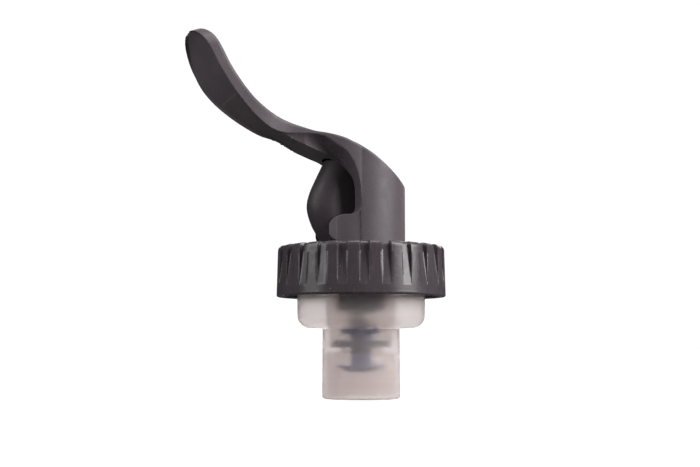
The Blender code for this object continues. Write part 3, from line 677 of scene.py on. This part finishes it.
def make_turret():
    turret = add_mesh("turret_moulding", turned(spigot_profile()))
    keel = add_mesh("keel", lofted(keel_rings(0.0, 0.0, 5.2)))
    combine(keel, keel_sweep(), "INTERSECT")
    combine(keel, lofted(keel_rings(KEEL_WALL, KEEL_FLOOR_Z, 9.0)), "DIFFERENCE")
    front_open = [(1.5, KEEL_FLOOR_Z), (9.0, KEEL_FLOOR_Z), (9.0, 30.0), (1.5, 30.0)]
    combine(keel, extruded(front_open, 9.0), "DIFFERENCE")
    combine(turret, object_bmesh(keel), "UNION")
    combine(turret, object_bmesh(mouth_stand()), "UNION")
    combine(turret, bore_solid(), "DIFFERENCE")
    mouth = [(0.0, MOUTH_BOTTOM_Z), (BEYOND, MOUTH_BOTTOM_Z), (BEYOND, CHANNEL_TOP_Z), (0.0, CHANNEL_TOP_Z)]
    combine(turret, extruded(mouth, MOUTH_HALF_WIDTH), "DIFFERENCE")
    combine(turret, rod_along_y(PIN_HOLE_RADIUS, 8.0, PIVOT_X, PIVOT_Z), "DIFFERENCE")
    melt(turret, TURRET_VOXEL, 5)
    turret.data.materials.append(turret_plastic())
    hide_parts("spout_body")
    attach(turret, "spout")


# ---------------------------------------------------------------- screw collar


def flute_depth(z):
    """Depth of a flute: none at the plain band, deepest at the top."""
    return FLUTE_DEPTH * max(0.0, (z - FLUTE_BOTTOM_Z) / (COLLAR_TOP_Z - FLUTE_BOTTOM_Z))


def flute_share(turn):
    """How far a point sits down a flute: 0 on the land, 1 on the flat floor, with short ramps between."""
    share = (turn * FLUTES) % 1.0
    start, end = FLUTE_SPAN
    return smoothstep((share - start) / FLUTE_RAMP) * smoothstep((end - share) / FLUTE_RAMP)


def floor_flatness(turn):
    """Factor that makes a flute's floor flat instead of round: the cosine from the flute's centre."""
    share = (turn * FLUTES) % 1.0
    start, end = FLUTE_SPAN
    half = math.radians(360 / FLUTES * (end - start) / 2)
    off = math.radians(360 / FLUTES * (share - (start + end) / 2))
    if abs(off) > half:
        return 1.0
    return math.cos(half) / math.cos(off)


def thread_rise(turn, z):
    """How far the internal thread stands out at a turn and height; it runs out at both ends."""
    best = 0.0
    for lap in range(3):
        along = turn + lap
        if along > THREAD_TURNS:
            break
        center = COLLAR_BOTTOM_Z + 1.6 + THREAD_PITCH * along
        ends = smoothstep(min(along, THREAD_TURNS - along) * 8)
        best = max(best, ends * (1 - smoothstep((abs(z - center) - 0.3) / 0.7)))
    return best


def collar_profile():
    """Points of the collar's section: (part, radius, z), from the lower lip up outside and down inside."""
    lip = COLLAR_BOTTOM_Z
    points = [("plain", COLLAR_MOUTH + 0.3, lip), ("plain", COLLAR_BOTTOM_RADIUS - 0.5, lip)]
    points += [("plain", r, z) for r, z in arc((COLLAR_BOTTOM_RADIUS - 0.5, lip + 0.5), 0.5, 285, 360, 5)]
    levels = 30
    round_radius = 1.0
    start = lip + 0.7
    heights = [start + (COLLAR_TOP_Z - round_radius - start) * i / levels for i in range(levels + 1)]
    for z in sorted(heights + [FLUTE_BOTTOM_Z]):
        share = (z - lip) / (COLLAR_TOP_Z - lip)
        radius = COLLAR_BOTTOM_RADIUS + (COLLAR_TOP_RADIUS - COLLAR_BOTTOM_RADIUS) * share
        points.append(("fluted", radius, z))
    center = (COLLAR_TOP_RADIUS - round_radius, COLLAR_TOP_Z - round_radius)
    for r, z in arc(center, round_radius, 12, 90, 7):
        points.append(("fluted", r, z))
    points += [("plain", r, COLLAR_TOP_Z) for r in (19.0, 15.0, COLLAR_HOLE + 0.3)]
    points += [("plain", COLLAR_HOLE + 0.05, COLLAR_TOP_Z - 0.1), ("plain", COLLAR_HOLE, COLLAR_TOP_Z - 0.3)]
    points += [("plain", COLLAR_HOLE, COLLAR_DECK_Z), ("plain", COLLAR_BORE, COLLAR_DECK_Z)]
    steps = 34
    for i in range(1, steps + 1):
        z = COLLAR_DECK_Z + (lip + 0.3 - COLLAR_DECK_Z) * i / steps
        mouth = smoothstep((lip + 3.2 - z) / 0.8)
        points.append(("threaded", COLLAR_BORE + (COLLAR_MOUTH - COLLAR_BORE) * mouth, z))
    return points


def collar_ring(section, turn):
    """The collar's section at one turn, cut into by the flutes outside and raised by the thread inside."""
    a = 2 * math.pi * turn
    ring = []
    for part, radius, z in section:
        r = radius
        depth = flute_depth(z)
        if part == "fluted" and depth:
            flat = (radius - depth) * floor_flatness(turn)
            r = radius + (min(radius, flat) - radius) * flute_share(turn)
        elif part == "threaded":
            r = radius - (radius - THREAD_CREST) * thread_rise(turn, z)
        ring.append((r * math.cos(a), r * math.sin(a), z))
    return ring


def make_collar():
    land = [0.0, 0.1, 0.2, 0.88]
    ramps = [start + 0.01 * i for start in (0.285, 0.725) for i in range(5)]
    floor = [0.42, 0.525, 0.63]
    section = collar_profile()
    rings = []
    for flute in range(FLUTES):
        for share in sorted(land + ramps + floor):
            rings.append(collar_ring(section, (flute + share) / FLUTES))
    collar = add_mesh("fluted_collar", lofted(rings, closed=True))
    collar.data.set_sharp_from_angle(angle=math.radians(50))
    collar.data.materials.append(collar_plastic())
    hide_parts("screw_collar")
    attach(collar, "collar")


# ---------------------------------------------------------------- stopper plug


def plug_profile():
    """The plug's section: stem and seat inside, then the shoulder, corner and flange outside."""
    bore = SPIGOT_RADIUS + 0.45
    ring_low, ring_high = RING_GROOVE_Z
    ring_groove = 10.5
    socket_bottom = -7.0
    guide_bottom = -14.6
    seat_under = SEAT_Z - 1.2
    inside = [
        (bore, PLUG_TOP_Z), (bore, ring_high), (ring_groove, ring_high), (ring_groove, ring_low),
        (bore, ring_low), (bore, socket_bottom), (STEM_BORE, socket_bottom), (STEM_BORE, guide_bottom),
        (CHAMBER_RADIUS, guide_bottom), (CHAMBER_RADIUS, SEAT_Z), (SEAT_HOLE, SEAT_Z),
        (SEAT_HOLE, seat_under), (STEM_BORE, seat_under), (STEM_BORE, STEM_BOTTOM_Z + 0.3),
        (STEM_BORE + 0.3, STEM_BOTTOM_Z),
    ]
    edge = 0.7
    draft = 0.05
    foot = arc((STEM_RADIUS + draft - edge, STEM_BOTTOM_Z + edge), edge, 270, 360, 8)
    stem = [(STEM_RADIUS, -25.0), (STEM_RADIUS - draft, -17.0)]
    fillet = 0.5
    throat = arc((STEM_RADIUS - draft + fillet, SHOULDER_BOTTOM_Z - fillet), fillet, 180, 90, 6)
    corner = 3.2
    low_radius = SHOULDER_RADIUS - 0.3
    knee = arc((low_radius - corner, SHOULDER_BOTTOM_Z + corner), corner, 270, 360, 16)
    under = PLUG_TOP_Z - 1.0
    flange = [(SHOULDER_RADIUS, under), (FLANGE_RADIUS, under), (FLANGE_RADIUS, PLUG_TOP_Z)]
    return inside + foot + stem + throat + knee + flange


def make_plug():
    plug = add_mesh("milky_plug", turned(plug_profile(), steps=192))
    plug.data.set_sharp_from_angle(angle=math.radians(30))
    plug.data.materials.append(milky_plastic())
    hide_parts("stopper_plug")
    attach(plug, "spout")


# ---------------------------------------------------------------- return spring


def make_spring():
    """The coil with a closed turn at each end, built at rest; the real spring flattens towards its fixed top
    as the valve lifts.
    """
    per_turn = 40
    steps = SPRING_TURNS * per_turn
    sides = 14
    closed_rise = 2 * WIRE_RADIUS + 0.1
    pitch = (SPRING_TOP_Z - SPRING_BOTTOM_Z - 2 * closed_rise) / (SPRING_TURNS - 2)
    rings = []
    z = SPRING_BOTTOM_Z
    for i in range(steps + 1):
        turn = i / per_turn
        a = 2 * math.pi * turn
        out = Vector((math.cos(a), math.sin(a), 0.0))
        center = out * SPRING_RADIUS + Vector((0, 0, z))
        ring = []
        for k in range(sides):
            b = 2 * math.pi * k / sides
            lift = Vector((0, 0, WIRE_RADIUS * math.sin(b)))
            ring.append(center + out * WIRE_RADIUS * math.cos(b) + lift)
        rings.append(ring)
        at_end = turn < 1 or turn >= SPRING_TURNS - 1
        z += (closed_rise if at_end else pitch) / per_turn
    spring = add_mesh("coil_spring", lofted(rings))
    spring.data.materials.append(steel())
    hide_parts("return_spring")
    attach(spring, "spout")
    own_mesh(spring)


# ---------------------------------------------------------------- materials


class Shader:
    """A Principled material with a few procedural layers on the object's own coordinates."""

    def __init__(self, name):
        self.material = bpy.data.materials.new(name)
        self.material.use_nodes = True
        self.tree = self.material.node_tree
        self.principled = self.tree.nodes["Principled BSDF"]
        self.coordinates = self.tree.nodes.new("ShaderNodeTexCoord")

    def set(self, **values):
        for key, value in values.items():
            self.principled.inputs[key.replace("_", " ")].default_value = value

    def link(self, source, target):
        self.tree.links.new(source, target)

    def noise(self, size, detail=3.0, stretch=(1.0, 1.0, 1.0), shift=0.0):
        """Noise whose features are about size millimetres across."""
        mapping = self.tree.nodes.new("ShaderNodeMapping")
        mapping.inputs["Scale"].default_value = stretch
        mapping.inputs["Location"].default_value = (shift, shift, shift)
        self.link(self.coordinates.outputs["Object"], mapping.inputs["Vector"])
        node = self.tree.nodes.new("ShaderNodeTexNoise")
        node.inputs["Scale"].default_value = 1 / (size * MM)
        node.inputs["Detail"].default_value = detail
        self.link(mapping.outputs["Vector"], node.inputs["Vector"])
        return node.outputs["Fac"]

    def cells(self, size, shift):
        """Distance to scattered points, about size millimetres apart."""
        mapping = self.tree.nodes.new("ShaderNodeMapping")
        mapping.inputs["Location"].default_value = (shift, shift, shift)
        self.link(self.coordinates.outputs["Object"], mapping.inputs["Vector"])
        node = self.tree.nodes.new("ShaderNodeTexVoronoi")
        node.inputs["Scale"].default_value = 1 / (size * MM)
        self.link(mapping.outputs["Vector"], node.inputs["Vector"])
        return node.outputs["Distance"]

    def ramp(self, value, low, high, start=0.0, end=1.0):
        node = self.tree.nodes.new("ShaderNodeMapRange")
        node.interpolation_type = "SMOOTHSTEP"
        node.inputs["From Min"].default_value = low
        node.inputs["From Max"].default_value = high
        node.inputs["To Min"].default_value = start
        node.inputs["To Max"].default_value = end
        self.link(value, node.inputs["Value"])
        return node.outputs["Result"]

    def multiply(self, a, b):
        node = self.tree.nodes.new("ShaderNodeMath")
        node.operation = "MULTIPLY"
        self.link(a, node.inputs[0])
        if isinstance(b, float):
            node.inputs[1].default_value = b
        else:
            self.link(b, node.inputs[1])
        return node.outputs[0]

    def mix(self, factor, first, second):
        """A colour between two, each a colour or another mix's output."""
        node = self.tree.nodes.new("ShaderNodeMix")
        node.data_type = "RGBA"
        self.link(factor, node.inputs["Factor"])
        for key, value in (("A", first), ("B", second)):
            target = [s for s in node.inputs if s.name == key and s.type == "RGBA"][0]
            if isinstance(value, tuple):
                target.default_value = (*value, 1.0)
            else:
                self.link(value, target)
        return [s for s in node.outputs if s.type == "RGBA"][0]

    def edges(self):
        """1 along outer edges, which are paled for wear and for a painted edge highlight."""
        geometry = self.tree.nodes.new("ShaderNodeNewGeometry")
        return self.ramp(geometry.outputs["Pointiness"], 0.52, 0.60)

    def color(self, value):
        self.link(value, self.principled.inputs["Base Color"])

    def roughness(self, value):
        self.link(value, self.principled.inputs["Roughness"])

    def bump(self, *layers):
        """Stacks bumps: each layer is (height, depth in millimetres)."""
        normal = None
        for height, depth in layers:
            node = self.tree.nodes.new("ShaderNodeBump")
            node.inputs["Strength"].default_value = 1.0
            node.inputs["Distance"].default_value = depth * MM
            self.link(height, node.inputs["Height"])
            if normal:
                self.link(normal, node.inputs["Normal"])
            normal = node.outputs["Normal"]
        self.link(normal, self.principled.inputs["Normal"])


def tinted(color, factor):
    return tuple(min(1.0, c * factor) for c in color)


def moulded_plastic(name, color, rough, grain_size, grain_depth, dust, stretch=(1.0, 1.0, 1.0)):
    """Moulded plastic: fine spark-eroded grain, faint flow marks, paler edges that are partly wear and
    partly a painted edge highlight, and a little dust.
    """
    shader = Shader(name)
    grain = shader.noise(grain_size, detail=2.0, stretch=stretch)
    flow = shader.noise(7.0, detail=4.0, stretch=(1.0, 1.0, 0.45), shift=0.13)
    base = shader.mix(shader.ramp(flow, 0.3, 0.7), tinted(color, 0.92), tinted(color, 1.08))
    speckle = shader.mix(shader.ramp(grain, 0.45, 0.72, 0.0, 0.35), base, tinted(color, 1.5))
    # Paler outer edges: partly wear, partly a painted edge highlight.
    worn_and_highlit = shader.mix(shader.multiply(shader.edges(), 0.45), speckle, tinted(color, 1.9))
    specks = shader.ramp(shader.cells(3.4, shift=0.07), 0.025, 0.05, 1.0, 0.0)
    chosen = shader.ramp(shader.noise(2.2, detail=0.0, shift=0.31), 0.60, 0.66)
    dusty = shader.multiply(shader.multiply(specks, chosen), dust)
    shader.color(shader.mix(dusty, worn_and_highlit, (0.55, 0.52, 0.52)))
    handling = shader.noise(2.5, detail=5.0, shift=0.4)
    shader.roughness(shader.ramp(handling, 0.3, 0.7, rough - 0.05, rough + 0.06))
    shader.bump((grain, grain_depth), (flow, 0.02))
    shader.set(Specular_IOR_Level=0.45)
    return shader.material


def lever_plastic():
    return moulded_plastic("lever_moulded", (0.108, 0.088, 0.099), 0.48, 0.30, 0.030, dust=0.7)


def turret_plastic():
    return moulded_plastic("turret_moulded", (0.050, 0.038, 0.045), 0.52, 0.30, 0.022, dust=0.3)


def collar_plastic():
    color = (0.074, 0.060, 0.068)
    return moulded_plastic("collar_moulded", color, 0.25, 0.35, 0.006, dust=0.5, stretch=(1.0, 1.0, 0.12))


def milky_plastic():
    """Translucent polyethylene: cloudy, with faint turning rings from the mould."""
    shader = Shader("milky_polyethylene")
    cloud = shader.noise(4.0, detail=4.0)
    rings = shader.noise(0.8, detail=3.0, stretch=(0.05, 0.05, 1.0), shift=0.2)
    tint = shader.mix(shader.ramp(cloud, 0.35, 0.65), (0.85, 0.76, 0.735), (0.86, 0.79, 0.78))
    shader.color(shader.mix(shader.ramp(rings, 0.4, 0.7, 0.0, 0.4), tint, (0.90, 0.86, 0.855)))
    shader.roughness(shader.ramp(cloud, 0.3, 0.7, 0.52, 0.62))
    shader.bump((rings, 0.004), (shader.noise(0.5, detail=2.0, shift=0.6), 0.002))
    shader.set(IOR=1.10, Transmission_Weight=0.76, Coat_Weight=0.35, Coat_Roughness=0.30)
    return shader.material


def plain_plastic(name, color, rough):
    """Smooth moulded plastic with soft mottling, for pieces inside."""
    shader = Shader(name)
    mottle = shader.noise(1.6, detail=4.0)
    shader.color(shader.mix(shader.ramp(mottle, 0.3, 0.7), tinted(color, 0.85), tinted(color, 1.15)))
    shader.roughness(shader.ramp(mottle, 0.3, 0.7, rough - 0.05, rough + 0.05))
    shader.bump((shader.noise(0.25, detail=2.0), 0.006))
    return shader.material


def soft_rubber(name, color):
    shader = Shader(name)
    bloom = shader.noise(1.2, detail=5.0)
    shader.color(shader.mix(shader.ramp(bloom, 0.4, 0.75), color, tinted(color, 1.8)))
    shader.roughness(shader.ramp(bloom, 0.3, 0.7, 0.68, 0.85))
    shader.bump((shader.noise(0.12, detail=2.0), 0.01))
    return shader.material


def steel():
    """Drawn stainless steel with fine lines round the wire or pin."""
    shader = Shader("drawn_steel")
    lines = shader.noise(0.15, detail=3.0, stretch=(1.0, 1.0, 0.2))
    shader.color(shader.mix(shader.ramp(lines, 0.3, 0.7), (0.56, 0.56, 0.57), (0.68, 0.68, 0.69)))
    shader.roughness(shader.ramp(lines, 0.3, 0.7, 0.20, 0.34))
    shader.bump((lines, 0.003))
    shader.set(Metallic=1.0)
    return shader.material


def dress_inner_pieces():
    """The carried-over CAD nodes get small bevels and their own materials."""
    blue = plain_plastic("blue_moulded", (0.05, 0.17, 0.60), 0.40)
    grey = plain_plastic("grey_moulded", (0.06, 0.065, 0.12), 0.45)
    acetal = plain_plastic("acetal_natural", (0.72, 0.70, 0.66), 0.38)
    black_rubber = soft_rubber("black_rubber", (0.035, 0.035, 0.038))
    silicone = soft_rubber("off_white_silicone", (0.60, 0.58, 0.55))
    wire = steel()
    dressed = {
        "valve_stem": blue, "valve_disc": blue, "valve_guide": grey, "poppet_seal": grey,
        "wiper_cap": acetal, "slip_washer": acetal, "rod_wiper": black_rubber, "body_o_ring": black_rubber,
        "rim_gasket": black_rubber, "mouth_seal": silicone, "pivot_pin": wire, "lift_pin": wire,
        "valve_rod": wire, "rod_clip": wire, "spring_washer": wire, "retaining_ring": wire,
    }
    for name, material in dressed.items():
        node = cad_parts[name]
        node.data.materials.clear()
        node.data.materials.append(material)
        bevel = node.modifiers.new("small_bevel", "BEVEL")
        bevel.width = 0.08 * MM
        bevel.segments = 2
        bevel.limit_method = "ANGLE"
        bevel.angle_limit = math.radians(35)


bpy.context.scene.view_settings.view_transform = "Standard"
make_camera()
make_lights()
make_world()
make_floor()
make_lever()
make_turret()
make_collar()
make_plug()
make_spring()
dress_inner_pieces()
